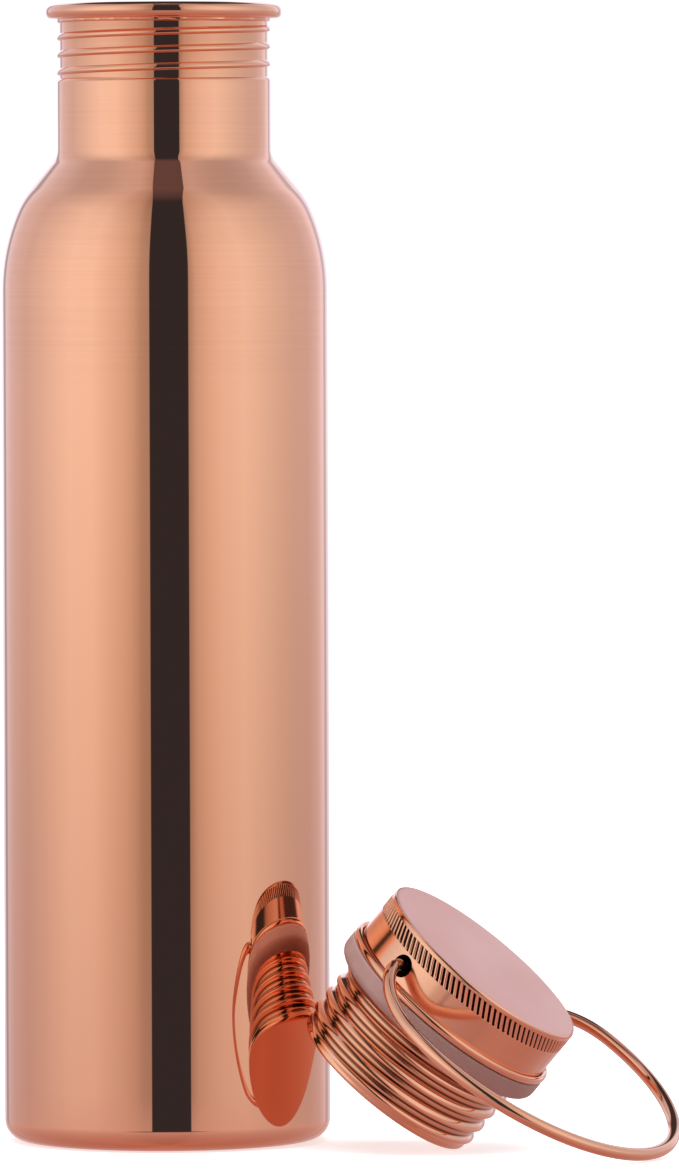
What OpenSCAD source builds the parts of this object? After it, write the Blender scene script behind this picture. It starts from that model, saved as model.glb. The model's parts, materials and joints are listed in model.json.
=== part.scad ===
// Copper water bottle with its screw stopper and swinging wire bail, standing open.
// Frame: origin at the middle of the bottle's base, +Z up, millimetres.
// The stopper leans on its lower rim beside the bottle, with the bail's far end on the ground.

/* [Bottle] */
// Outside diameter of the straight body
body_d = 75; // [60:0.5:90]
// Height from the base to the top of the mouth rim
bottle_h = 261.4; // [230:0.1:320]
// Thickness of the drawn copper sheet
wall = 0.6; // [0.5:0.05:1]
// Radius where the side turns into the flat base
base_corner_r = 5; // [3:0.5:9]
// Outside diameter of the plain neck
neck_d = 49.2; // [44:0.2:52]
// Outside diameter of the rolled mouth rim
rim_d = 54.4; // [51:0.2:58]
// Height of the rolled mouth rim
rim_h = 3.7; // [3.5:0.1:6]

/* [Rolled thread] */
// Distance between neighbouring turns
pitch = 4; // [3:0.25:5]
// Depth of the rolled groove
thread_depth = 1.35; // [1:0.05:1.8]
// Turns rolled into the neck
neck_turns = 3.6; // [2:0.1:4]
// Turns rolled into the stopper's cup
cup_turns = 4.4; // [3:0.1:5]
// Gap all round between the stopper's thread and the neck's thread
thread_gap = 0.25; // [0.15:0.05:0.5]

/* [Stopper] */
// Outside diameter of the knurled drum
drum_d = 52; // [48:0.5:56]
// Height of the drum from its flange to its top
drum_h = 12.5; // [11:0.5:16]
// Width of the knurled band
knurl_w = 3.6; // [2:0.1:4]
// Number of flutes in the knurled band
flutes = 108; // [60:2:150]
// Slant of the flutes against the drum's axis
flute_slant = 30; // [0:1:40]
// Outside diameter of the rolled flange
flange_d = 55; // [52:0.5:60]
// Outside diameter of the gasket
gasket_d = 54.8; // [53:0.2:60]
// Thickness of the gasket
gasket_h = 5.2; // [4:0.1:9]
// Length of the threaded cup below the gasket
cup_h = 18.5; // [15:0.1:20]
// Diameter of each bail hole in the drum
hole_d = 5.3; // [4.5:0.1:6]
// Depth of the bail holes below the top
hole_drop = 8; // [7:0.1:9]

/* [Bail] */
// Diameter of the bail wire
wire_d = 3; // [2.4:0.1:3.6]
// Radius of the ring to the middle of the wire
ring_r = 37.5; // [35:0.5:44]
// Half distance between the ring's legs at the pins
leg_half = 28; // [27.8:0.1:30]
// Skew of the ring against the line of its pins
ring_skew = 10; // [0:0.5:12]

/* [Place beside the bottle] */
// Lean of the stopper's axis from upright
lean = 40.3; // [35:0.1:45]
// Direction the stopper leans towards, round from +X
heading = -16.52; // [-25:0.1:-5]
// Turn of the bail holes round the stopper's axis
roll = -112.8; // [-120:0.2:-100]
// Position of the stopper's top along X
top_x = 72.97; // [72.9:0.1:90]
// Position of the stopper's top along Y
top_y = -30.6; // [-45:0.1:-30]
// Swing of the bail from square across the drum
bail_rest = 2.8; // [2.8:0.1:20]

/* [Hidden] */
$fn = 96;
body_r = body_d / 2;
neck_r = neck_d / 2;
rim_r = rim_d / 2;
drum_r = drum_d / 2;
flange_r = flange_d / 2;
gasket_r = gasket_d / 2;
wire_r = wire_d / 2;
eps = 0.01;
// shoulder: big convex arc, smaller convex arc, straight cone, concave fillet
shoulder_z = bottle_h - 65.9;
big_r = 47;
big_end = 23.2;
small_r = 20;
cone_a = 39.5;
fillet_r = 5;
big_c = [body_r - big_r, shoulder_z];
small_c = big_c + (big_r - small_r) * [cos(big_end), sin(big_end)];
cone_p = small_c + small_r * [cos(cone_a), sin(cone_a)];
fillet_z = cone_p[1] + fillet_r * sin(cone_a)
    - (neck_r + fillet_r - fillet_r * cos(cone_a) - cone_p[0]) * cos(cone_a) / sin(cone_a);
fillet_c = [neck_r + fillet_r, fillet_z];
// neck thread
crest_r = neck_r + 0.05;
thread_top = bottle_h - rim_h;
thread_bot = thread_top - neck_turns * pitch;
neck_phase = -0.7;
bore_r = neck_r - wall;
// stopper, measured down from the top of the drum
flange_z = -drum_h;
knurl_top = 1.2;
gasket_top = flange_z - 1.05;
gasket_bot = gasket_top - gasket_h;
cup_bot = gasket_bot - cup_h;
cup_crest = crest_r - wall - thread_gap;
cup_root = cup_crest - thread_depth;
cup_bore = cup_root - 0.75;
collar_r = cup_crest - 0.3;
rest_r = cup_root + 0.46;
// lowest of the last thread crest and the bottom edge sits on the ground
crest_low = -(cup_bot + 1.7) * cos(lean) + cup_crest * sin(lean);
edge_low = -(cup_bot + 0.8) * cos(lean) + (rest_r - 0.8) * sin(lean) + 0.8;
top_z = max(crest_low, edge_low) + 0.02;
// bail
ring_mid = sqrt(ring_r * ring_r - leg_half * leg_half);
join_y = 18;
join_a = asin((join_y - ring_mid) / ring_r);
pin_in = drum_r - 4.5;
pin_out = drum_r + 0.4;
bend_out = 5;
bend_in = 14;

bottle_shell();
cap_drum();
cap_top_disc();
flange_plate();
gasket();
threaded_cup();
bail_ring();

// ---- shared shapes ----

function arc(c, r, a0, a1, n) =
    [for (i = [0:n]) c + r * [cos(a0 + (a1 - a0) * i / n), sin(a0 + (a1 - a0) * i / n)]];

// outside line of the shell from the base centre to the start of the thread, set in by t
function shell_line(t) = concat(
    [[0, t]],
    arc([body_r - base_corner_r, base_corner_r], base_corner_r - t, -90, 0, 8),
    arc(big_c, big_r - t, 0, big_end, 6),
    arc(small_c, small_r - t, big_end, cone_a, 4),
    arc(fillet_c, fillet_r + t, 180 + cone_a, 180, 6),
    [[neck_r - t, thread_bot]]);

// depth of the rolled profile over one pitch, upwards from the crest: 0 on the crest, 1 in the grooves,
// with a long upper flank, a low ridge between two narrow grooves and a short steep lower flank
function rolled(u) =
    u < 0.43 ? pow(u / 0.43, 1.8) :
    u < 0.80 ? 0.74 + 0.26 * pow((u - 0.615) / 0.185, 2) :
    pow((1 - u) / 0.20, 1.6);

// right-handed rolled thread standing on z = 0, its phase set by the height it starts at
module rolled_rod(crest, h, z0, n = 36) {
    linear_extrude(height = h, twist = -360 * h / pitch, slices = ceil(h / pitch * 18), segments = n)
        rotate(360 * z0 / pitch)
            polygon([for (i = [0:n - 1])
                let (r = crest - thread_depth * rolled(i / n))
                r * [cos(-i * 360 / n), sin(-i * 360 / n)]]);
}

// moves a shape from the stopper's own frame to its place beside the bottle
module beside() {
    translate([top_x, top_y, top_z])
        rotate([0, 0, heading])
            rotate([0, lean, 0])
                rotate([0, 0, roll])
                    children();
}

// ---- bottle ----

// one sheet drawn into base, side, shoulder, threaded neck and rolled mouth rim
module bottle_shell() {
    color([0.85, 0.53, 0.40]) {
        rotate_extrude($fn = 128)
            polygon(concat(shell_line(0), reverse(shell_line(wall))));
        translate([0, 0, thread_bot])
            neck_thread(thread_top - thread_bot);
        rotate_extrude($fn = 128)
            mouth_rim();
    }
}

function reverse(list) = [for (i = [len(list) - 1:-1:0]) list[i]];

module neck_thread(h) {
    difference() {
        union() {
            rolled_rod(crest_r, h, thread_bot - neck_phase);
            cylinder(r = neck_r, h = wall);
            translate([0, 0, h - wall])
                cylinder(r = neck_r, h = wall);
        }
        translate([0, 0, -0.5])
            rolled_rod(crest_r - wall, h + 1, thread_bot - 0.5 - neck_phase);
    }
}

module mouth_rim() {
    bead = [rim_r - 1.2, thread_top + 1.8];
    polygon(concat(
        [[bore_r, thread_top - eps], [neck_r, thread_top - eps]],
        [for (a = [-70:15:65]) bead + [1.2 * cos(a), 1.55 * sin(a)]],
        arc([bore_r + 0.7, bottle_h - 0.7], 0.7, 65, 180, 5)));
}

// ---- stopper ----

// drawn drum with a rounded upper edge, a knurled band and two bail holes
module cap_drum() {
    color([0.85, 0.53, 0.40])
        beside()
            difference() {
                union() {
                    rotate_extrude()
                        polygon([[drum_r - 2, -1.6], [drum_r - 2, -0.8], [drum_r - 0.45, -0.8],
                            [drum_r - 0.45, -0.15], [drum_r - 0.25, -0.1], [drum_r - 0.05, -0.4],
                            [drum_r, -0.7], [drum_r, -knurl_top], [drum_r - 0.4, -knurl_top],
                            [drum_r - 0.4, -knurl_top - knurl_w], [drum_r, -knurl_top - knurl_w],
                            [drum_r, flange_z], [drum_r - 0.8, flange_z], [drum_r - 0.8, -1.6]]);
                    translate([0, 0, -knurl_top - 0.1 - knurl_w])
                        knurl();
                }
                bail_hole(1);
                bail_hole(-1);
            }
}

// band of slanted flutes, let 0.1 into the plain wall at both ends
module knurl() {
    h = knurl_w + 0.2;
    difference() {
        linear_extrude(height = h, twist = h * tan(flute_slant) / drum_r * 180 / PI, slices = 4)
            polygon([for (i = [0:flutes * 2 - 1])
                let (r = i % 2 == 0 ? drum_r - 0.03 : drum_r - 0.35)
                r * [cos(i * 180 / flutes), sin(i * 180 / flutes)]]);
        translate([0, 0, -1])
            cylinder(r = drum_r - 0.5, h = h + 2);
    }
}

module bail_hole(side) {
    translate([side * (drum_r - 3), 0, -hole_drop])
        rotate([0, side * 90, 0])
            cylinder(d = hole_d, h = 5);
}

// satin disc let into the drum's upper edge
module cap_top_disc() {
    color([0.87, 0.68, 0.66])
        beside()
            rotate_extrude()
                polygon([[0, -0.78], [drum_r - 0.5, -0.78], [drum_r - 0.5, -0.1],
                    [drum_r - 0.8, 0], [0, 0]]);
}

// thin plate with a rolled bead round its edge, closing the drum from below
module flange_plate() {
    color([0.85, 0.53, 0.40])
        beside() {
            translate([0, 0, flange_z - 0.75])
                cylinder(r = flange_r - 0.7, h = 0.73);
            rotate_extrude()
                polygon([for (a = [0:24:359])
                    [flange_r - 0.7 + 0.7 * cos(a), flange_z - 0.02 + 0.95 * sin(a)]]);
        }
}

// soft ring that seals on the mouth rim, pushed up the cup's collar
module gasket() {
    color([0.74, 0.60, 0.58])
        beside()
            rotate_extrude()
                polygon(concat(
                    [[collar_r + 0.02, gasket_top], [gasket_r - 0.6, gasket_top],
                        [gasket_r, gasket_top - 0.6]],
                    arc([gasket_r - 2.2, gasket_bot + 2.2], 2.2, 0, -90, 6),
                    [[collar_r + 0.02, gasket_bot]]));
}

// drawn cup, closed below, with the thread rolled into its wall
module threaded_cup() {
    turns_h = cup_turns * pitch - 1;
    color([0.85, 0.53, 0.40])
        beside()
            difference() {
                union() {
                    translate([0, 0, gasket_bot])
                        cylinder(r = collar_r, h = flange_z - 0.77 - gasket_bot);
                    translate([0, 0, gasket_bot - cup_h + 1])
                        cylinder(r = cup_root - 0.1, h = cup_h);
                    translate([0, 0, gasket_bot - turns_h - 0.6])
                        rolled_rod(cup_crest, turns_h, 0);
                    rotate_extrude()
                        polygon(concat(
                            [[0, cup_bot]],
                            arc([rest_r - 0.8, cup_bot + 0.8], 0.8, -90, 0, 3),
                            [[cup_root + 0.1, cup_bot + 1.3], [0, cup_bot + 1.3]]));
                }
                translate([0, 0, cup_bot + 0.8])
                    cylinder(r = cup_bore, h = flange_z - cup_bot);
            }
}

// ---- bail ----

// ring of round wire with both ends turned in to the drum's holes
module bail_ring() {
    color([0.85, 0.53, 0.40])
        beside()
            translate([0, 0, -hole_drop])
                rotate([bail_rest, 0, 0]) {
                    leg();
                    rotate([0, 180, 0])
                        leg();
                    rotate([0, ring_skew, 0])
                        translate([0, ring_mid, 0])
                            rotate([0, 0, join_a])
                                rotate_extrude(angle = 180 - 2 * join_a)
                                    translate([ring_r, 0])
                                        circle(r = wire_r, $fn = 32);
                }
}

function ring_at(t) = [ring_r * cos(t) * cos(ring_skew), ring_mid + ring_r * sin(t),
    -ring_r * cos(t) * sin(ring_skew)];
function ring_dir(t) = [-sin(t) * cos(ring_skew), cos(t), sin(t) * sin(ring_skew)];
function bend_at(u) =
    let (p0 = [pin_out, 0, 0],
        p1 = p0 + [bend_out, 0, 0],
        p3 = ring_at(join_a),
        p2 = p3 - bend_in * ring_dir(join_a))
    pow(1 - u, 3) * p0 + 3 * pow(1 - u, 2) * u * p1 + 3 * (1 - u) * u * u * p2 + pow(u, 3) * p3;

// direction of the bend at u, from +X round to the ring's own direction
function bend_dir(u) =
    let (d = bend_at(min(u + 0.01, 1)) - bend_at(max(u - 0.01, 0)))
    d / norm(d);
function bend_circle(u, centre, sides) =
    let (along = bend_dir(u), across = cross([0, 0, 1], along), side = across / norm(across),
        up = cross(along, side))
    [for (i = [0:sides - 1])
        centre + (wire_r + 0.03) * (side * cos(i * 360 / sides) + up * sin(i * 360 / sides))];

// pin and bend at the +X end
module leg() {
    sides = 20;
    steps = 16;
    translate([pin_in, 0, 0])
        rotate([0, 90, 0])
            cylinder(r = wire_r, h = pin_out - pin_in, $fn = 32);
    rows = concat(
        [bend_circle(0, bend_at(0) - 0.4 * bend_dir(0), sides)],
        [for (i = [0:steps]) bend_circle(i / steps, bend_at(i / steps), sides)],
        [bend_circle(1, bend_at(1) + 0.4 * bend_dir(1), sides)]);
    last = len(rows) - 1;
    polyhedron(
        points = [for (row = rows) each row],
        faces = concat(
            [[for (i = [0:sides - 1]) i]],
            [for (k = [0:last - 1], i = [0:sides - 1])
                let (j = (i + 1) % sides)
                [k * sides + i, (k + 1) * sides + i, (k + 1) * sides + j, k * sides + j]],
            [[for (i = [sides - 1:-1:0]) last * sides + i]]));
}
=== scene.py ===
import json
import math

import bmesh
import bpy
from bpy.props import FloatProperty, IntProperty, PointerProperty, StringProperty
from mathutils import Matrix, Vector


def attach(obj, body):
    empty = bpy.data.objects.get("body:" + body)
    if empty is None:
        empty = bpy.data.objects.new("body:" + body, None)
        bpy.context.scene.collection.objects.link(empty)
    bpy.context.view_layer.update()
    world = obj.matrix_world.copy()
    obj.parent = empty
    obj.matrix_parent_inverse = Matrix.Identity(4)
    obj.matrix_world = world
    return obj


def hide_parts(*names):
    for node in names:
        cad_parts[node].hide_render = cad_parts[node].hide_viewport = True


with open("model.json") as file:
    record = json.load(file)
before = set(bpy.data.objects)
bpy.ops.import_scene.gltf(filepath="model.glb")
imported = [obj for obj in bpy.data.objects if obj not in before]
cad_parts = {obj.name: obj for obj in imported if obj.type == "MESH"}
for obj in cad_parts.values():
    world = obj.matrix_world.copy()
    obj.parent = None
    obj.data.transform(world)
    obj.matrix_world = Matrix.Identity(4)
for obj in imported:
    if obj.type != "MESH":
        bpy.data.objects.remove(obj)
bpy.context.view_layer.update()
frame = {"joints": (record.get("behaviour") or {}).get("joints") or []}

bl_info = {
    "name": "Copper Water Bottle",
    "version": (1, 0, 0),
    "blender": (4, 5, 0),
    "location": "View3D > Sidebar > Bottle",
    "description": "Builds the polished copper bottle, its screw stopper, its wire bail and a small studio",
    "category": "Object",
}

MM = 0.001


def joint(name):
    """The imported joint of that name."""
    return next(j for j in frame["joints"] if j["name"] == name)


BAIL_JOINT = joint("bail_swing")


def linear(hex_colour):
    """An sRGB hex colour as linear RGBA."""
    channels = [int(hex_colour[i:i + 2], 16) / 255 for i in (1, 3, 5)]
    return [c / 12.92 if c <= 0.04045 else ((c + 0.055) / 1.055) ** 2.4 for c in channels] + [1.0]


# ---------------------------------------------------------------- sizes and finishes


class BottleSizes(bpy.types.PropertyGroup):
    body_radius: FloatProperty(name="Body radius", description="Outside radius of the straight body",
                               default=0.0375, unit="LENGTH")
    height: FloatProperty(name="Height", description="From the base to the top of the mouth rim",
                          default=0.2614, unit="LENGTH")
    wall: FloatProperty(name="Wall", description="Thickness of the drawn sheet",
                        default=0.0006, unit="LENGTH")
    corner: FloatProperty(name="Base corner", description="Radius between side and base",
                          default=0.005, unit="LENGTH")
    neck_radius: FloatProperty(name="Neck radius", description="Outside radius of the plain neck",
                               default=0.0246, unit="LENGTH")
    rim_radius: FloatProperty(name="Rim radius", description="Outside radius of the rolled mouth rim",
                              default=0.0272, unit="LENGTH")
    rim_height: FloatProperty(name="Rim height", description="Height of the rolled mouth rim",
                              default=0.0037, unit="LENGTH")
    pitch: FloatProperty(name="Thread pitch", description="Distance between turns of the rolled thread",
                         default=0.004, unit="LENGTH")
    depth: FloatProperty(name="Thread depth", description="Depth of the rolled groove",
                         default=0.00135, unit="LENGTH")
    turns: FloatProperty(name="Neck turns", description="Turns rolled into the neck", default=3.6)


class StopperSizes(bpy.types.PropertyGroup):
    lean: FloatProperty(name="Lean", description="Lean of the stopper from upright",
                        default=math.radians(40.3), subtype="ANGLE")
    heading: FloatProperty(name="Heading", description="Direction of the lean, round from +X",
                           default=math.radians(-16.52), subtype="ANGLE")
    roll: FloatProperty(name="Roll", description="Turn of the bail holes round the stopper's axis",
                        default=math.radians(-112.8), subtype="ANGLE")
    drum_radius: FloatProperty(name="Drum radius", description="Outside radius of the knurled drum",
                               default=0.026, unit="LENGTH")
    drum_height: FloatProperty(name="Drum height", description="From the flange to the top",
                               default=0.0125, unit="LENGTH")
    flange_radius: FloatProperty(name="Flange radius", description="Outside radius of the rolled flange",
                                 default=0.0275, unit="LENGTH")
    gasket_radius: FloatProperty(name="Gasket radius", description="Outside radius of the gasket",
                                 default=0.0274, unit="LENGTH")
    gasket_height: FloatProperty(name="Gasket height", description="Thickness of the gasket",
                                 default=0.0052, unit="LENGTH")
    cup_height: FloatProperty(name="Cup height", description="Length of the threaded cup below the gasket",
                              default=0.0185, unit="LENGTH")
    hole_radius: FloatProperty(name="Bail hole radius", description="Radius of each bail hole",
                               default=0.00265, unit="LENGTH")
    hole_drop: FloatProperty(name="Bail hole drop", description="Bail holes below the top",
                             default=0.008, unit="LENGTH")
    flutes: IntProperty(name="Flutes", description="Flutes round the knurled band", default=108)
    flute_slant: FloatProperty(name="Flute slant", description="Slant of the flutes against the axis",
                               default=math.radians(30), subtype="ANGLE")
    knurl_top: FloatProperty(name="Knurl top", description="Start of the knurled band below the top",
                             default=0.0012, unit="LENGTH")
    knurl_width: FloatProperty(name="Knurl width", description="Width of the knurled band",
                               default=0.0036, unit="LENGTH")


class BailSizes(bpy.types.PropertyGroup):
    wire_radius: FloatProperty(name="Wire radius", description="Radius of the bail wire",
                               default=0.0015, unit="LENGTH")
    ring_radius: FloatProperty(name="Ring radius", description="Ring radius to the middle of the wire",
                               default=0.0375, unit="LENGTH")
    leg_half: FloatProperty(name="Leg half distance", description="Half distance between the legs",
                            default=0.028, unit="LENGTH")
    skew: FloatProperty(name="Skew", description="Skew of the ring against its pins",
                        default=math.radians(10), subtype="ANGLE")
    rest: FloatProperty(name="Rest swing", description="Swing at rest from square across the drum",
                        default=math.radians(2.8), subtype="ANGLE")
    join: FloatProperty(name="Bend end", description="Distance from the pins to where the bend meets the ring",
                        default=0.018, unit="LENGTH")
    bend_out: FloatProperty(name="Bend out", description="Length of the bend's handle at the pin",
                            default=0.005, unit="LENGTH")
    bend_in: FloatProperty(name="Bend in", description="Length of the bend's handle at the ring",
                           default=0.014, unit="LENGTH")


class Finishes(bpy.types.PropertyGroup):
    copper: StringProperty(name="Polished copper", description="Colour of the polished copper",
                           default="#F9BE9F")
    satin: StringProperty(name="Satin copper", description="Colour of the satin top disc",
                          default="#FCC6B5")
    silicone: StringProperty(name="Silicone", description="Colour of the gasket", default="#C4A09B")
    copper_roughness: FloatProperty(name="Polish", description="Roughness of the polished copper",
                                    default=0.02, min=0, max=1, subtype="FACTOR")


# ---------------------------------------------------------------- material helpers

FAINT_RINGS = 0.03      # how much of the rings is left where they have faded out
PAINTED_GROOVE_SHADE = (0.03, 0.011, 0.008, 1)     # near-black painted shade for the bottoms of grooves


def add(material, kind, settings=None, links=None):
    """Adds a node with its settings; links say what each input takes, an output or a plain value."""
    tree = material.node_tree
    node = tree.nodes.new(kind)
    for name, value in (settings or {}).items():
        if name in node.inputs and not hasattr(node, name):
            node.inputs[name].default_value = value
        else:
            setattr(node, name, value)
    for socket, source in (links or {}).items():
        if hasattr(source, "is_output"):
            tree.links.new(source, node.inputs[socket])
        else:
            node.inputs[socket].default_value = source
    return node


def calculate(material, operation, *values):
    """The output of a Math node over outputs and numbers."""
    return add(material, "ShaderNodeMath", {"operation": operation}, dict(enumerate(values))).outputs[0]


def blend(material, amount, under, over, how="MIX"):
    """One colour laid over another where the amount is 1."""
    return add(material, "ShaderNodeMix", {"data_type": "RGBA", "blend_type": how},
               {0: amount, 6: under, 7: over}).outputs[2]


def new_material(name):
    """An empty node material with its output and principled shader."""
    material = bpy.data.materials.new(name)
    material.use_nodes = True
    material.node_tree.nodes.clear()
    shader = add(material, "ShaderNodeBsdfPrincipled")
    add(material, "ShaderNodeOutputMaterial", links={"Surface": shader.outputs["BSDF"]})
    return material, shader


def ramp(node, stops):
    """Sets a colour ramp's stops from (position, grey) or (position, colour) pairs."""
    elements = node.color_ramp.elements
    while len(elements) > 1:
        elements.remove(elements[-1])
    for i, (position, value) in enumerate(stops):
        element = elements[0] if i == 0 else elements.new(position)
        element.position = position
        element.color = value if hasattr(value, "__len__") else (value, value, value, 1)


def turned_copper(name, colour, roughness, line_mm, line_depth, low=None, high=None, centre=None, tilt=None,
                  groove=None):
    """Polished copper: drawn sheet buffed on a lathe, which leaves fine rings round its axis.

    The eye sees a mirror that is a little smeared up and down wherever the rings are strong.
    The rings fade in from low to high. centre and tilt place the axis, which is Z without them.
    """
    material, shader = new_material(name)
    place = add(material, "ShaderNodeTexCoord").outputs["Object"]
    if centre is not None:
        # two steps, because a Mapping node turns before it moves
        moved = add(material, "ShaderNodeVectorMath", {"operation": "SUBTRACT"}, {0: place, 1: centre})
        place = add(material, "ShaderNodeVectorRotate", {"rotation_type": "EULER_XYZ", "invert": True},
                    {"Vector": moved.outputs[0], "Rotation": tilt}).outputs[0]
    # rings: noise that hardly changes round the axis and changes every line_mm along it
    fine = add(material, "ShaderNodeMapping", {"Scale": (12, 12, 1000 / line_mm)}, {"Vector": place})
    rings = add(material, "ShaderNodeTexNoise", {"Scale": 1.0, "Detail": 2.0, "Roughness": 0.6},
                {"Vector": fine.outputs[0]})
    # polish varies slowly over the sheet, about every 40 mm
    cloud = add(material, "ShaderNodeTexNoise", {"Scale": 25.0, "Detail": 3.0}, {"Vector": place})
    strength = shade = rings.outputs["Fac"]
    if low is not None:
        height = add(material, "ShaderNodeSeparateXYZ", links={0: place}).outputs["Z"]
        zone = add(material, "ShaderNodeMapRange", {"interpolation_type": "SMOOTHSTEP", "From Min": low,
                                                    "From Max": high}, {"Value": height})
        amount = calculate(material, "MULTIPLY_ADD", zone.outputs["Result"], 1 - FAINT_RINGS, FAINT_RINGS)
        strength = calculate(material, "MULTIPLY", strength, amount)
        shade = calculate(material, "MAXIMUM", shade, calculate(material, "SUBTRACT", 1.0, amount))
    bump = add(material, "ShaderNodeBump", {"Strength": 1.0, "Distance": line_depth}, {"Height": strength})
    rough = add(material, "ShaderNodeMapRange", {"From Min": 0.3, "From Max": 0.7,
                                                 "To Min": roughness * 0.7, "To Max": roughness * 1.5},
                {"Value": cloud.outputs["Fac"]})
    tint = add(material, "ShaderNodeValToRGB", links={"Fac": shade})
    base = linear(colour)
    ramp(tint, [(0.3, [c * 0.96 for c in base[:3]] + [1]), (0.6, base)])
    surface = tint.outputs["Color"]
    if groove is not None:
        # painted shade, near black, darkens the grooves between two radii and two heights,
        # and leaves this much of the copper colour showing at the bottom
        bottom, crest, start, stop, left = groove
        parts = add(material, "ShaderNodeSeparateXYZ", links={0: place})
        flat = add(material, "ShaderNodeCombineXYZ", links={"X": parts.outputs["X"], "Y": parts.outputs["Y"]})
        radius = add(material, "ShaderNodeVectorMath", {"operation": "LENGTH"}, {0: flat.outputs[0]})
        deep = add(material, "ShaderNodeMapRange", {"interpolation_type": "SMOOTHSTEP", "From Min": bottom,
                                                    "From Max": crest, "To Min": 1.0 - left, "To Max": 0.0},
                   {"Value": radius.outputs["Value"]})
        zone = calculate(material, "MULTIPLY", calculate(material, "GREATER_THAN", parts.outputs["Z"], start),
                         calculate(material, "LESS_THAN", parts.outputs["Z"], stop))
        amount = calculate(material, "MULTIPLY", zone, deep.outputs["Result"])
        surface = blend(material, amount, surface, PAINTED_GROOVE_SHADE)
    links = material.node_tree.links
    links.new(surface, shader.inputs["Base Color"])
    links.new(rough.outputs["Result"], shader.inputs["Roughness"])
    links.new(bump.outputs["Normal"], shader.inputs["Normal"])
    shader.inputs["Metallic"].default_value = 1.0
    return material


def satin_disc(name, colour):
    """Satin copper: the disc is blasted and lightly brushed, so it shows a soft, even, pinkish sheen."""
    material, shader = new_material(name)
    place = add(material, "ShaderNodeTexCoord").outputs["Object"]
    # grit of about 0.25 mm
    grain = add(material, "ShaderNodeTexNoise", {"Scale": 4000.0, "Detail": 3.0}, {"Vector": place})
    cloud = add(material, "ShaderNodeTexNoise", {"Scale": 60.0, "Detail": 2.0}, {"Vector": place})
    bump = add(material, "ShaderNodeBump", {"Strength": 0.35, "Distance": 0.00002},
               {"Height": grain.outputs["Fac"]})
    rough = add(material, "ShaderNodeMapRange", {"From Min": 0.3, "From Max": 0.7,
                                                 "To Min": 0.40, "To Max": 0.48},
                {"Value": cloud.outputs["Fac"]})
    links = material.node_tree.links
    tint = add(material, "ShaderNodeValToRGB", links={"Fac": cloud.outputs["Fac"]})
    base = linear(colour)
    ramp(tint, [(0.3, [c * 0.97 for c in base[:3]] + [1]), (0.7, base)])
    links.new(tint.outputs["Color"], shader.inputs["Base Color"])
    links.new(rough.outputs["Result"], shader.inputs["Roughness"])
    links.new(bump.outputs["Normal"], shader.inputs["Normal"])
    shader.inputs["Metallic"].default_value = 1.0
    return material


def moulded_silicone(name, colour):
    """Moulded silicone rubber: matt, slightly milky, with a faint cloudiness and a fine moulded skin."""
    material, shader = new_material(name)
    place = add(material, "ShaderNodeTexCoord").outputs["Object"]
    cloud = add(material, "ShaderNodeTexNoise", {"Scale": 120.0, "Detail": 4.0}, {"Vector": place})
    skin = add(material, "ShaderNodeTexNoise", {"Scale": 3000.0, "Detail": 2.0}, {"Vector": place})
    tint = add(material, "ShaderNodeValToRGB", links={"Fac": cloud.outputs["Fac"]})
    base = linear(colour)
    ramp(tint, [(0.3, [c * 0.88 for c in base[:3]] + [1]), (0.7, base)])
    bump = add(material, "ShaderNodeBump", {"Strength": 0.4, "Distance": 0.00003},
               {"Height": skin.outputs["Fac"]})
    links = material.node_tree.links
    links.new(tint.outputs["Color"], shader.inputs["Base Color"])
    links.new(bump.outputs["Normal"], shader.inputs["Normal"])
    shader.inputs["Roughness"].default_value = 0.5
    shader.inputs["IOR"].default_value = 1.41
    shader.inputs["Subsurface Weight"].default_value = 0.35
    shader.inputs["Subsurface Radius"].default_value = (0.004, 0.002, 0.0015)
    shader.inputs["Subsurface Scale"].default_value = 1.0
    return material


# ---------------------------------------------------------------- shape helpers

ROUND_STEPS = 160           # faces round the large pieces
THREAD_PROUD = 0.05 * MM    # thread crest beyond the plain neck, on the radius
CUP_PLAY = 0.25 * MM        # between the cup's crest and the neck's bore, on the radius
UNDER_DRUM = 1.05 * MM      # from the drum's lower edge to the gasket
SHOULDER_DROP = 65.9 * MM   # from the top of the rim to the end of the straight side


def arc(centre_r, centre_z, radius, start, end, steps):
    """Points (r, z) along an arc, angles in degrees."""
    return [(centre_r + radius * math.cos(math.radians(start + (end - start) * i / steps)),
             centre_z + radius * math.sin(math.radians(start + (end - start) * i / steps)))
            for i in range(steps + 1)]


def spun(profile, steps=ROUND_STEPS, closed=False):
    """A bmesh spun once round Z from a profile of (r, z) points."""
    bm = bmesh.new()
    verts = [bm.verts.new((r, 0, z)) for r, z in profile]
    edges = [bm.edges.new(pair) for pair in zip(verts, verts[1:])]
    if closed:
        edges.append(bm.edges.new((verts[-1], verts[0])))
    bmesh.ops.spin(bm, geom=verts + edges, cent=(0, 0, 0), axis=(0, 0, 1), angle=math.tau,
                   steps=steps, use_merge=True, use_duplicate=False)
    bmesh.ops.remove_doubles(bm, verts=bm.verts, dist=1e-7)
    bmesh.ops.recalc_face_normals(bm, faces=bm.faces)
    return bm


def finish(bm, name, material, body, nodes, matrix=None, sharp=32):
    """Turns a bmesh into a smooth piece that rides on a body and stands for CAD nodes."""
    if matrix is not None:
        bmesh.ops.transform(bm, matrix=matrix, verts=bm.verts)
    mesh = bpy.data.meshes.new(name)
    bm.to_mesh(mesh)
    bm.free()
    mesh.shade_smooth()
    mesh.set_sharp_from_angle(angle=math.radians(sharp))
    mesh.materials.append(material)
    piece = bpy.data.objects.new(name, mesh)
    bpy.context.scene.collection.objects.link(piece)
    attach(piece, body)
    if nodes:
        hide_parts(*nodes)
    return piece


def smooth(x):
    """Smooth step from 0 to 1."""
    x = min(max(x, 0), 1)
    return x * x * (3 - 2 * x)


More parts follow.
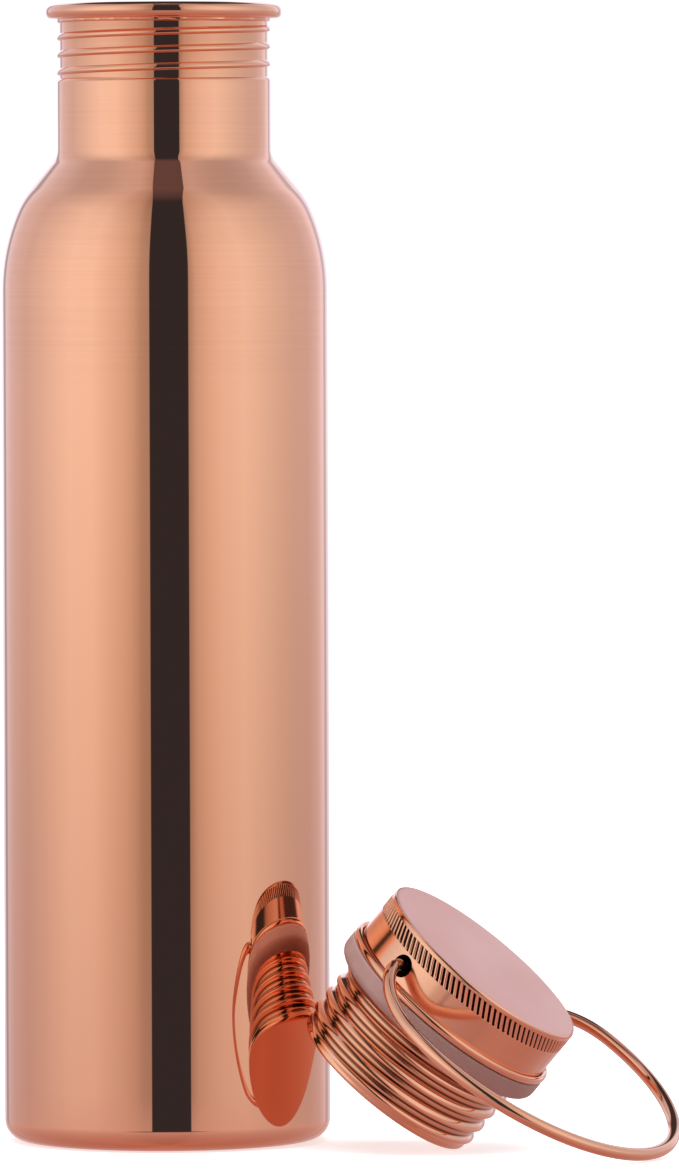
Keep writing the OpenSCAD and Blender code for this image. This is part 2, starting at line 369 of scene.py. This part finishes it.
def rolled(u):
    """Depth of the rolled thread, upwards from the crest: 0 on the crest, 1 in the two narrow grooves."""
    u = u % 1
    if u < 0.43:
        return (u / 0.43) ** 1.8
    if u < 0.80:
        return 0.74 + 0.26 * ((u - 0.615) / 0.185) ** 2
    return ((1 - u) / 0.20) ** 1.6


# Heights over one pitch where the thread's mesh has a row: close together beside the grooves
THREAD_ROWS = (0, 0.06, 0.12, 0.18, 0.24, 0.29, 0.34, 0.38, 0.41, 0.43, 0.45, 0.49, 0.55, 0.615, 0.68, 0.74,
               0.78, 0.80, 0.82, 0.845, 0.87, 0.90, 0.93, 0.965)


def join(bm, other):
    """Adds another bmesh to this one."""
    mesh = bpy.data.meshes.new("joined")
    other.to_mesh(mesh)
    other.free()
    bm.from_mesh(mesh)
    bpy.data.meshes.remove(mesh)


def thread_tube(crest, depth, pitch, low, high, phase, fade_low, fade_high, rest=0.0, steps=ROUND_STEPS):
    """An open tube with a right-handed thread, whose rows climb one pitch a turn along the thread."""
    bm = bmesh.new()
    first = math.floor((low - phase) / pitch) - 1
    turns = math.ceil((high - phase) / pitch) - first
    heights = [phase + pitch * (first + k + u) for k in range(turns) for u in THREAD_ROWS]
    verts = [bm.verts.new((crest, 0, z)) for z in heights]
    edges = [bm.edges.new(pair) for pair in zip(verts, verts[1:])]
    bmesh.ops.spin(bm, geom=verts + edges, cent=(0, 0, 0), axis=(0, 0, 1), dvec=(0, 0, pitch / steps),
                   angle=math.tau, steps=steps, use_merge=False, use_duplicate=False)
    bmesh.ops.remove_doubles(bm, verts=bm.verts, dist=1e-6)
    for v in bm.verts:
        u = (v.co.z - phase) / pitch - math.atan2(v.co.y, v.co.x) / math.tau
        fade = smooth((v.co.z - low) / fade_low) * smooth((high - v.co.z) / fade_high)
        sink = depth * (rolled(u + 1e-7) * fade + rest * (1 - fade))
        v.co.x *= (crest - sink) / crest
        v.co.y *= (crest - sink) / crest
    for height, way in ((low, -1), (high, 1)):
        bmesh.ops.bisect_plane(bm, geom=bm.verts[:] + bm.edges[:] + bm.faces[:], dist=1e-7,
                               plane_co=(0, 0, height), plane_no=(0, 0, way), clear_outer=True)
    return bm


def bridge(bm, low, high):
    """Closes the gap between the open rings at two heights."""
    rings = [e for e in bm.edges if e.is_boundary
             and all(min(abs(v.co.z - low), abs(v.co.z - high)) < 1e-5 for v in e.verts)]
    bmesh.ops.bridge_loops(bm, edges=rings)


def closed(bm):
    """Faces outward, and an error where an edge is open."""
    bmesh.ops.recalc_face_normals(bm, faces=bm.faces)
    if any(e.is_boundary for e in bm.edges):
        raise RuntimeError("the surface is not closed")
    return bm


def stopper_matrix():
    """The stopper's own frame: Z up through its top, X through the bail holes, origin on its top."""
    s = bpy.context.scene.stopper_sizes
    turn = (Matrix.Rotation(s.heading, 4, "Z") @ Matrix.Rotation(s.lean, 4, "Y")
            @ Matrix.Rotation(s.roll, 4, "Z"))
    pin = Vector(BAIL_JOINT["pos_m"])
    top = pin - turn @ Vector((0, 0, -s.hole_drop))
    return Matrix.Translation(top) @ turn


def cup_crest():
    """Radius of the cup's thread over its crest."""
    b = bpy.context.scene.bottle_sizes
    return b.neck_radius + THREAD_PROUD - b.wall - CUP_PLAY


def copper_for(name, roughness=None, line_mm=0.5, line_depth=0.000004, **zone):
    """Polished copper for one piece."""
    f = bpy.context.scene.finishes
    return turned_copper(name, f.copper, roughness or f.copper_roughness, line_mm, line_depth, **zone)


def stopper_copper(name, **settings):
    """Polished copper whose rings run round the stopper's axis."""
    m = stopper_matrix()
    return copper_for(name, centre=m.to_translation(), tilt=m.to_euler("XYZ"), **settings)


# ---------------------------------------------------------------- pieces


class BOTTLE_OT_shell(bpy.types.Operator):
    """Spin the drawn copper shell, its threaded neck and its rolled mouth rim"""

    bl_idname = "bottle.shell"
    bl_label = "Bottle shell"

    def execute(self, context):
        s = context.scene.bottle_sizes
        thread_top = s.height - s.rim_height
        thread_low = thread_top - s.turns * s.pitch
        shoulder = s.height - SHOULDER_DROP

        def side(t):
            big_r, small_r, fillet = 0.047, 0.020, 0.005
            big_end, cone = 23.2, 39.5
            c1 = (s.body_radius - big_r, shoulder)
            c2 = (c1[0] + (big_r - small_r) * math.cos(math.radians(big_end)),
                  c1[1] + (big_r - small_r) * math.sin(math.radians(big_end)))
            ca, sa = math.cos(math.radians(cone)), math.sin(math.radians(cone))
            p = (c2[0] + small_r * ca, c2[1] + small_r * sa)
            fz = p[1] + fillet * sa - (s.neck_radius + fillet - fillet * ca - p[0]) * ca / sa
            line = [(0, t), (0.016, t), (0.026, t)]
            line += arc(s.body_radius - s.corner, s.corner, s.corner - t, -90, 0, 16)
            line += [(s.body_radius - t, s.corner + (shoulder - s.corner) * i / 24) for i in range(1, 24)]
            line += arc(c1[0], c1[1], big_r - t, 0, big_end, 22)
            line += arc(c2[0], c2[1], small_r - t, big_end, cone, 10)[1:]
            line += arc(s.neck_radius + fillet, fz, fillet + t, 180 + cone, 180, 14)
            return line

        bore = s.neck_radius - s.wall
        bead_r, bead_z = s.rim_radius - 0.0012, thread_top + 0.0018
        rim = [(s.neck_radius, thread_top + 0.00005)]
        rim += [(bead_r + 0.0012 * math.cos(math.radians(a)), bead_z + 0.00155 * math.sin(math.radians(a)))
                for a in range(-80, 66, 8)]
        rim += arc(bore + 0.0007, s.height - 0.0007, 0.0007, 65, 180, 8)
        outer = side(0) + [(s.neck_radius, thread_low - 0.0004)]
        bm = spun(outer)
        join(bm, spun(rim + side(s.wall)[::-1]))
        # the height of the crest on the -X side sets the thread's phase
        join(bm, thread_tube(s.neck_radius + THREAD_PROUD, s.depth, s.pitch, thread_low, thread_top - 0.0003,
                             -0.0007, 0.0016, 0.0006, rest=0.037))
        bridge(bm, thread_low - 0.0004, thread_low)
        bridge(bm, thread_top - 0.0003, thread_top + 0.00005)
        closed(bm)
        root = s.neck_radius + THREAD_PROUD - s.depth
        # painted shade, near black, in the bottoms of the neck thread's grooves
        copper = copper_for("buffed_copper_shell", line_mm=0.8, line_depth=0.0000035, low=0.150, high=0.205,
                            groove=(root + 0.00016, root + 0.00038, thread_low + 0.0005, thread_top, 0.0))
        finish(bm, "drawn_bottle_shell", copper, "bottle", ["bottle_shell"], sharp=50)
        return {"FINISHED"}


class BOTTLE_OT_cup(bpy.types.Operator):
    """Spin the stopper's threaded cup"""

    bl_idname = "bottle.threaded_cup"
    bl_label = "Threaded cup"

    def execute(self, context):
        s, b = context.scene.stopper_sizes, context.scene.bottle_sizes
        crest = cup_crest()
        root = crest - b.depth
        gasket_low = -s.drum_height - UNDER_DRUM - s.gasket_height
        low = gasket_low - s.cup_height
        collar, rest = crest - 0.0003, root + 0.00046
        thread_top, thread_low = gasket_low - 0.0003, low + 0.0011
        bottom = [(0, low), (0.012, low)] + arc(rest - 0.0008, low + 0.0008, 0.0008, -90, 0, 8)
        top = [(rest, gasket_low - 0.0001), (rest, gasket_low + 0.0001), (collar, gasket_low + 0.0001),
               (collar, -s.drum_height - 0.00077), (root - 0.00075, -s.drum_height - 0.00077),
               (root - 0.00075, low + 0.0008), (0, low + 0.0008)]
        bm = spun(bottom)
        join(bm, spun(top))
        join(bm, thread_tube(crest, b.depth, b.pitch, thread_low, thread_top, low + 0.0013, 0.0022, 0.0012,
                             rest=(crest - rest) / b.depth))
        bridge(bm, low + 0.0008, thread_low)
        bridge(bm, thread_top, gasket_low - 0.0001)
        closed(bm)
        # painted shade in the bottoms of the cup thread's grooves, keeping 35 % of the copper colour at the
        # very bottom
        copper = stopper_copper("rolled_copper_cup", line_mm=1.0, line_depth=0.0000008,
                                groove=(root + 0.0001, root + 0.00042, thread_low + 0.001, thread_top, 0.35))
        finish(bm, "rolled_threaded_cup", copper, "stopper", ["threaded_cup"],
               stopper_matrix(), sharp=50)
        return {"FINISHED"}


class BOTTLE_OT_gasket(bpy.types.Operator):
    """Spin the soft sealing ring"""

    bl_idname = "bottle.gasket"
    bl_label = "Gasket"

    def execute(self, context):
        s = context.scene.stopper_sizes
        inner = cup_crest() - 0.00028
        top = -s.drum_height - UNDER_DRUM
        low = top - s.gasket_height
        profile = [(inner, top)]
        profile += arc(s.gasket_radius - 0.0006, top - 0.0006, 0.0006, 90, 0, 5)
        profile += arc(s.gasket_radius - 0.0022, low + 0.0022, 0.0022, 0, -90, 12)
        profile += [(inner, low)]
        bm = spun(profile, 128, closed=True)
        finish(bm, "silicone_gasket", moulded_silicone("moulded_silicone", context.scene.finishes.silicone),
               "stopper", ["gasket"], stopper_matrix())
        return {"FINISHED"}


class BOTTLE_OT_flange(bpy.types.Operator):
    """Spin the flange plate with its rolled bead"""

    bl_idname = "bottle.flange"
    bl_label = "Flange plate"

    def execute(self, context):
        s = context.scene.stopper_sizes
        z = -s.drum_height
        r = s.flange_radius - 0.0007
        profile = [(0, z - 0.00075), (r - 0.0006, z - 0.00075)]
        profile += [(r + 0.0007 * math.cos(math.radians(a)),
                     z - 0.00002 + 0.00095 * math.sin(math.radians(a)))
                    for a in range(-130, 176, 15)]
        profile += [(r - 0.0008, z - 0.00002), (0, z - 0.00002)]
        bm = spun(profile)
        finish(bm, "rolled_flange_plate", stopper_copper("pressed_copper_flange", line_mm=0.4),
               "stopper", ["flange_plate"], stopper_matrix(), sharp=50)
        return {"FINISHED"}


class BOTTLE_OT_drum(bpy.types.Operator):
    """Spin the knurled drum and bore its two bail holes"""

    bl_idname = "bottle.drum"
    bl_label = "Cap drum"

    def execute(self, context):
        s = context.scene.stopper_sizes
        r, low = s.drum_radius, -s.drum_height
        top, wide, end = -s.knurl_top, s.knurl_width, 0.00008
        band = [top, top - end, top - wide * 0.25, top - wide * 0.5, top - wide * 0.75,
                top - wide + end, top - wide]
        profile = [(r - 0.002, -0.0016), (r - 0.002, -0.0008), (r - 0.00045, -0.0008), (r - 0.00045, -0.0002)]
        profile += [(r - 0.0004, -0.0001), (r - 0.00025, -0.0001), (r - 0.0001, -0.0003),
                    (r - 0.00002, -0.0005), (r, -0.0008), (r, top + end)]
        profile += [(r, z) for z in band]
        profile += [(r, top - wide - end), (r, -0.007), (r, -0.009), (r, low + 0.0002), (r, low + 0.0001),
                    (r - 0.0001, low), (r - 0.0008, low), (r - 0.0008, -0.0016)]
        per_flute, flute_depth = 8, 0.5 * MM
        bm = spun(profile, s.flutes * per_flute, closed=True)
        slope = math.tan(s.flute_slant) / r
        for v in bm.verts:
            radius, angle = math.hypot(v.co.x, v.co.y), math.atan2(v.co.y, v.co.x)
            sink = 0
            if abs(radius - r) < 1e-6 and band[-1] + 1e-6 < v.co.z < band[0] - 1e-6:
                side = abs((angle / math.tau * s.flutes) % 1 - 0.5) * 2
                sink = flute_depth * smooth(1 - side / 0.75)
            # the columns are turned to lie along the slanted flutes
            angle += slope * min(max(top - v.co.z, 0), wide)
            v.co.x, v.co.y = (radius - sink) * math.cos(angle), (radius - sink) * math.sin(angle)
        cutter_bm = bmesh.new()
        bmesh.ops.create_cone(cutter_bm, cap_ends=True, segments=48, radius1=s.hole_radius,
                              radius2=s.hole_radius, depth=0.08,
                              matrix=(Matrix.Translation((0, 0, -s.hole_drop))
                                      @ Matrix.Rotation(math.pi / 2, 4, "Y")))
        cutter_mesh = bpy.data.meshes.new("hole_cutter")
        cutter_bm.to_mesh(cutter_mesh)
        cutter_bm.free()
        cutter = bpy.data.objects.new("hole_cutter", cutter_mesh)
        context.scene.collection.objects.link(cutter)
        plain = bpy.data.meshes.new("plain_drum")
        bm.to_mesh(plain)
        bm.free()
        blank = bpy.data.objects.new("plain_drum", plain)
        context.scene.collection.objects.link(blank)
        cut = blank.modifiers.new("holes", "BOOLEAN")
        cut.operation, cut.solver, cut.object = "DIFFERENCE", "EXACT", cutter
        context.view_layer.update()
        bored = bmesh.new()
        bored.from_object(blank, context.evaluated_depsgraph_get())
        for spare in (blank, cutter):
            bpy.data.objects.remove(spare)
        if len(bored.faces) < 100:
            raise RuntimeError("the bail holes could not be bored")
        # painted shade, near black, in the bottoms of the knurl's flutes
        copper = stopper_copper("drawn_copper_drum", roughness=0.11, line_mm=0.8, line_depth=0.0000008,
                                groove=(r - 0.0004, r - 0.0001, top - wide, top, 0.0))
        finish(bored, "knurled_cap_drum", copper,
               "stopper", ["cap_drum"], stopper_matrix(), sharp=40)
        return {"FINISHED"}


class BOTTLE_OT_disc(bpy.types.Operator):
    """Spin the satin disc let into the drum"""

    bl_idname = "bottle.disc"
    bl_label = "Top disc"

    def execute(self, context):
        s = context.scene.stopper_sizes
        r = s.drum_radius - 0.0005
        profile = [(0, -0.00078), (r, -0.00078), (r, -0.00018), (r - 0.00008, -0.00008),
                   (r - 0.0003, -0.00002), (r - 0.001, 0), (0.012, 0), (0, 0)]
        bm = spun(profile, 192)
        satin = satin_disc("satin_copper_disc", context.scene.finishes.satin)
        finish(bm, "satin_top_disc", satin, "stopper", ["cap_top_disc"], stopper_matrix())
        return {"FINISHED"}


class BOTTLE_OT_bail(bpy.types.Operator):
    """Draw the wire bail with its two turned-in pins"""

    bl_idname = "bottle.bail"
    bl_label = "Wire bail"

    def execute(self, context):
        s, w = context.scene.stopper_sizes, context.scene.bail_sizes
        middle = math.sqrt(w.ring_radius ** 2 - w.leg_half ** 2)
        join = math.asin((w.join - middle) / w.ring_radius)
        cos_skew, sin_skew = math.cos(w.skew), math.sin(w.skew)

        def ring(t):
            x = w.ring_radius * math.cos(t)
            return Vector((x * cos_skew, middle + w.ring_radius * math.sin(t), -x * sin_skew))

        ahead = Vector((-math.sin(join) * cos_skew, math.cos(join), math.sin(join) * sin_skew))
        p0 = Vector((s.drum_radius + 0.0004, 0, 0))
        p1, p3 = p0 + Vector((w.bend_out, 0, 0)), ring(join)
        p2 = p3 - w.bend_in * ahead
        bend = [(1 - u) ** 3 * p0 + 3 * (1 - u) ** 2 * u * p1 + 3 * (1 - u) * u * u * p2 + u ** 3 * p3
                for u in [i / 32 for i in range(33)]]
        near = [Vector((s.drum_radius - 0.0045 + 0.0049 * i / 4, 0, 0)) for i in range(4)] + bend
        round_y = Matrix.Rotation(math.pi, 3, "Y")
        path = near + [ring(join + (math.pi - 2 * join) * i / 120) for i in range(1, 120)]
        path += [round_y @ p for p in near[::-1]]
        curve = bpy.data.curves.new("bail_path", "CURVE")
        curve.dimensions = "3D"
        curve.bevel_depth = w.wire_radius
        curve.bevel_resolution = 6
        curve.use_fill_caps = True
        spline = curve.splines.new("POLY")
        spline.points.add(len(path) - 1)
        turn = (stopper_matrix() @ Matrix.Translation((0, 0, -s.hole_drop))
                @ Matrix.Rotation(w.rest, 4, "X"))
        for point, place in zip(spline.points, path):
            point.co = (turn @ place).to_4d()
        wire = bpy.data.objects.new("bail_path", curve)
        context.scene.collection.objects.link(wire)
        bm = bmesh.new()
        bm.from_mesh(wire.to_mesh())
        wire.to_mesh_clear()
        bpy.data.objects.remove(wire)
        bmesh.ops.remove_doubles(bm, verts=bm.verts, dist=1e-6)
        finish(bm, "copper_wire_bail", copper_for("drawn_copper_wire", line_mm=1.5, line_depth=0.000001),
               "bail", ["bail_ring"], sharp=50)
        return {"FINISHED"}


# ---------------------------------------------------------------- stage

# Softbox brightness round the bottle, by direction in degrees from the front, + towards +X:
# two wide softboxes, a dark gap between them, and thin dark flags behind.
ROUND = [(-180, 1.0), (-163, 1.0), (-159, 0.45), (-155, 0.40), (-151, 0.78), (-137, 0.70), (-115, 0.66),
         (-98, 0.75), (-85, 0.84), (-70, 0.93), (-52, 0.92), (-38, 0.80), (-28, 0.71),
         (-21, 0.60), (-16, 0.47), (-11, 0.42), (14, 0.36), (18, 0.41), (23, 0.62), (32, 0.74),
         (42, 0.82), (58, 0.87), (76, 0.78), (89, 0.71), (104, 0.65), (122, 0.63),
         (138, 0.72), (150, 0.90), (154, 0.62), (158, 0.50), (161, 0.85), (180, 1.0)]
# The light's colour by the size of that angle: warm in front, a little cool behind
TINT = [(0, (0.99, 0.83, 0.71)), (18, (0.99, 0.84, 0.73)), (30, (0.98, 0.87, 0.79)), (45, (0.98, 0.92, 0.88)),
        (60, (0.97, 0.95, 0.92)), (85, (0.96, 0.94, 0.94)), (110, (0.96, 0.92, 0.98)),
        (135, (0.96, 0.93, 1.06)), (150, (0.97, 0.99, 1.18)), (180, (0.97, 1.02, 1.22))]
# The brightness and colour by height: the sine of the direction's angle above the floor.
# Below the horizon the light comes off the table, warmed by the copper standing on it.
RISE = [(-1.0, (0.54, 0.27, 0.22)), (-0.8, (0.56, 0.33, 0.30)), (-0.5, (0.60, 0.42, 0.41)),
        (-0.30, (0.66, 0.50, 0.49)), (-0.17, (0.72, 0.58, 0.57)), (-0.084, (0.76, 0.69, 0.68)),
        (-0.047, (0.88, 0.84, 0.81)), (-0.02, (0.97, 0.96, 0.95)),
        (0.0, (1, 1, 1)), (0.34, (1, 1, 1)), (0.6, (0.92, 0.92, 0.92)), (0.87, (0.70, 0.66, 0.66)),
        (1.0, (0.63, 0.57, 0.61))]
LIGHT = 1.12
TABLE_COLOUR = (0.86, 0.80, 0.80, 1)
# The dark gap between the softboxes is an upright slot in front, from side to side in direction X,
# which narrows overhead.
GAP_LEFT, GAP_RIGHT, GAP_LOW = -0.172, 0.300, -0.17
# The narrowing overhead: directions count GAP_NARROW * Z ** GAP_BEND wider
GAP_NARROW, GAP_BEND = 0.77, 2.75
GAP_COLOUR, GAP_COLOUR_ABOVE = (0.031, 0.034, 0.045, 1), (0.125, 0.088, 0.094, 1)
# Dark cloths round the set, as boxes of directions: X, Y and Z from and to, softness in X, softness in Y
# and Z, colour. In order: the dark ceiling behind, the table's front edge.
CLOTHS = (((-0.33, 0.33), (0.20, 2), (0.45, 2), 0.05, 0.06, (0.05, 0.04, 0.04, 1)),
          ((-0.38, 0.42), (-2, 0), (-0.22, -0.165), 0.20, 0.012, (0.08, 0.045, 0.045, 1)))


def tint(angle):
    """The light's colour from one direction round the bottle."""
    angle = abs(angle)
    for (a0, c0), (a1, c1) in zip(TINT, TINT[1:]):
        if angle <= a1:
            t = (angle - a0) / (a1 - a0)
            return [x + (y - x) * t for x, y in zip(c0, c1)]
    return TINT[-1][1]


class BOTTLE_OT_stage(bpy.types.Operator):
    """Set the pale floor, the soft studio light and the camera"""

    bl_idname = "bottle.stage"
    bl_label = "Stage"

    def execute(self, context):
        scene = context.scene
        scene.view_settings.view_transform = "Standard"
        bm = bmesh.new()
        bmesh.ops.create_grid(bm, x_segments=1, y_segments=1, size=12.0,
                              matrix=Matrix.Translation((0, 0, -0.0002)))
        mesh = bpy.data.meshes.new("floor")
        bm.to_mesh(mesh)
        bm.free()
        floor = bpy.data.objects.new("floor", mesh)
        scene.collection.objects.link(floor)
        paper, shader = new_material("white_paper_sweep")
        shader.inputs["Base Color"].default_value = (0.92, 0.92, 0.92, 1)
        shader.inputs["Roughness"].default_value = 1.0
        shader.inputs["Specular IOR Level"].default_value = 0.0
        # lit from below like a light table, so that only the contact shadows stay
        shader.inputs["Emission Color"].default_value = (1, 1, 1, 1)
        shader.inputs["Emission Strength"].default_value = 0.6
        mesh.materials.append(paper)
        # the bottle mirrors the softboxes down to its foot, as on a lit table
        floor.visible_glossy = False
        floor.visible_diffuse = False

        world = bpy.data.worlds.new("studio")
        scene.world = world
        world.use_nodes = True
        world.node_tree.nodes.clear()
        place = add(world, "ShaderNodeTexCoord").outputs["Generated"]
        turned = add(world, "ShaderNodeMapping", {"Rotation": (0, 0, math.pi / 2)}, {"Vector": place})
        around = add(world, "ShaderNodeTexGradient", {"gradient_type": "RADIAL"},
                     {"Vector": turned.outputs[0]})
        boxes = add(world, "ShaderNodeValToRGB", links={"Fac": around.outputs["Fac"]})
        ramp(boxes, [(0.5 + a / 360, [v * c for c in tint(a)] + [1]) for a, v in ROUND])
        split = add(world, "ShaderNodeSeparateXYZ", links={0: place})
        height = add(world, "ShaderNodeMapRange", {"From Min": -1.0, "From Max": 1.0},
                     {"Value": split.outputs["Z"]})
        rise = add(world, "ShaderNodeValToRGB", links={"Fac": height.outputs["Result"]})
        ramp(rise, [((z + 1) / 2, (*colour, 1)) for z, colour in RISE])
        # low down the table evens the light out all round
        low = add(world, "ShaderNodeMapRange", {"From Min": -0.17, "From Max": -0.06,
                                                "To Min": 0.75, "To Max": 0.0}, {"Value": split.outputs["Z"]})
        evened = blend(world, low.outputs["Result"], boxes.outputs["Color"], TABLE_COLOUR)
        colour = blend(world, 1.0, evened, rise.outputs["Color"], "MULTIPLY")

        def step(value, start, stop):
            """Rises from 0 at start to 1 at stop."""
            turn = start > stop
            node = add(world, "ShaderNodeMapRange",
                       {"interpolation_type": "SMOOTHSTEP", "From Min": min(start, stop),
                        "From Max": max(start, stop), "To Min": float(turn), "To Max": float(not turn)},
                       {"Value": value})
            return node.outputs["Result"]

        def product(values):
            """The values multiplied together."""
            total = values[0]
            for value in values[1:]:
                total = calculate(world, "MULTIPLY", total, value)
            return total

        for x, y, z, soft_x, soft, cloth in CLOTHS:
            edges = []
            for axis, (start, stop), s in (("X", x, soft_x), ("Y", y, soft), ("Z", z, soft)):
                if start > -1:
                    edges.append(step(split.outputs[axis], start - s, start + s))
                if stop < 1:
                    edges.append(step(split.outputs[axis], stop + s, stop - s))
            colour = blend(world, product(edges), colour, cloth)
        bent = calculate(world, "POWER", calculate(world, "MAXIMUM", split.outputs["Z"], 0.0), GAP_BEND)
        narrow = calculate(world, "MULTIPLY_ADD", bent, GAP_NARROW, 1.0)
        across = product([split.outputs["X"], narrow])
        inside = product([step(across, GAP_LEFT - 0.006, GAP_LEFT + 0.006),
                          step(across, GAP_RIGHT + 0.006, GAP_RIGHT - 0.006),
                          step(split.outputs["Y"], 0.02, -0.02),
                          step(split.outputs["Z"], GAP_LOW - 0.005, GAP_LOW + 0.005)])
        above = add(world, "ShaderNodeMapRange", {"From Min": 0.85, "From Max": 0.98},
                    {"Value": split.outputs["Z"]})
        slot = add(world, "ShaderNodeValToRGB", links={"Fac": above.outputs["Result"]})
        ramp(slot, [(0.0, GAP_COLOUR), (1.0, GAP_COLOUR_ABOVE)])
        colour = blend(world, inside, colour, slot.outputs["Color"])
        seen = add(world, "ShaderNodeLightPath")
        glow = add(world, "ShaderNodeBackground", {"Strength": LIGHT}, {"Color": colour})
        white = add(world, "ShaderNodeBackground", {"Color": (1, 1, 1, 1), "Strength": 1.1})
        both = add(world, "ShaderNodeMixShader", links={0: seen.outputs["Is Camera Ray"],
                                                        1: glow.outputs[0], 2: white.outputs[0]})
        add(world, "ShaderNodeOutputWorld", links={"Surface": both.outputs[0]})

        lamp_data = bpy.data.lights.new("overhead_softbox", "AREA")
        lamp_data.shape, lamp_data.size, lamp_data.energy = "DISK", 2.4, 42
        lamp = bpy.data.objects.new("overhead_softbox", lamp_data)
        lamp.location = (0.05, -0.3, 2.0)
        lamp.visible_glossy = False
        lamp.visible_camera = False
        scene.collection.objects.link(lamp)

        camera_data = bpy.data.cameras.new("camera")
        camera_data.lens = 321.07
        camera_data.sensor_width = 36.0
        camera = bpy.data.objects.new("camera", camera_data)
        camera.location = (0.040, -2.400, 0.213)
        camera.rotation_euler = (Matrix.Rotation(math.radians(90 - 2.038), 4, "X")
                                 @ Matrix.Rotation(math.radians(-0.18), 4, "Z")).to_euler()
        scene.collection.objects.link(camera)
        scene.camera = camera
        return {"FINISHED"}


class BOTTLE_PT_panel(bpy.types.Panel):
    """Lists the bottle's steps and sizes"""

    bl_idname = "BOTTLE_PT_panel"
    bl_label = "Copper bottle"
    bl_space_type = "VIEW_3D"
    bl_region_type = "UI"
    bl_category = "Bottle"

    def draw(self, context):
        for step in STEPS:
            self.layout.operator(step.bl_idname)
        for group in (context.scene.bottle_sizes, context.scene.stopper_sizes, context.scene.bail_sizes,
                      context.scene.finishes):
            box = self.layout.box()
            for name in group.__annotations__:
                box.prop(group, name)


STEPS = (BOTTLE_OT_shell, BOTTLE_OT_cup, BOTTLE_OT_gasket, BOTTLE_OT_flange, BOTTLE_OT_drum,
         BOTTLE_OT_disc, BOTTLE_OT_bail, BOTTLE_OT_stage)
GROUPS = {"bottle_sizes": BottleSizes, "stopper_sizes": StopperSizes, "bail_sizes": BailSizes,
          "finishes": Finishes}


def register():
    for group in GROUPS.values():
        bpy.utils.register_class(group)
    for name, group in GROUPS.items():
        setattr(bpy.types.Scene, name, PointerProperty(type=group))
    for step in STEPS:
        bpy.utils.register_class(step)
    bpy.utils.register_class(BOTTLE_PT_panel)


def unregister():
    bpy.utils.unregister_class(BOTTLE_PT_panel)
    for step in reversed(STEPS):
        bpy.utils.unregister_class(step)
    for name in GROUPS:
        delattr(bpy.types.Scene, name)
    for group in reversed(GROUPS.values()):
        bpy.utils.unregister_class(group)


def main():
    register()
    for step in STEPS:
        area, name = step.bl_idname.split(".")
        getattr(getattr(bpy.ops, area), name)()


if __name__ == "__main__":
    main()
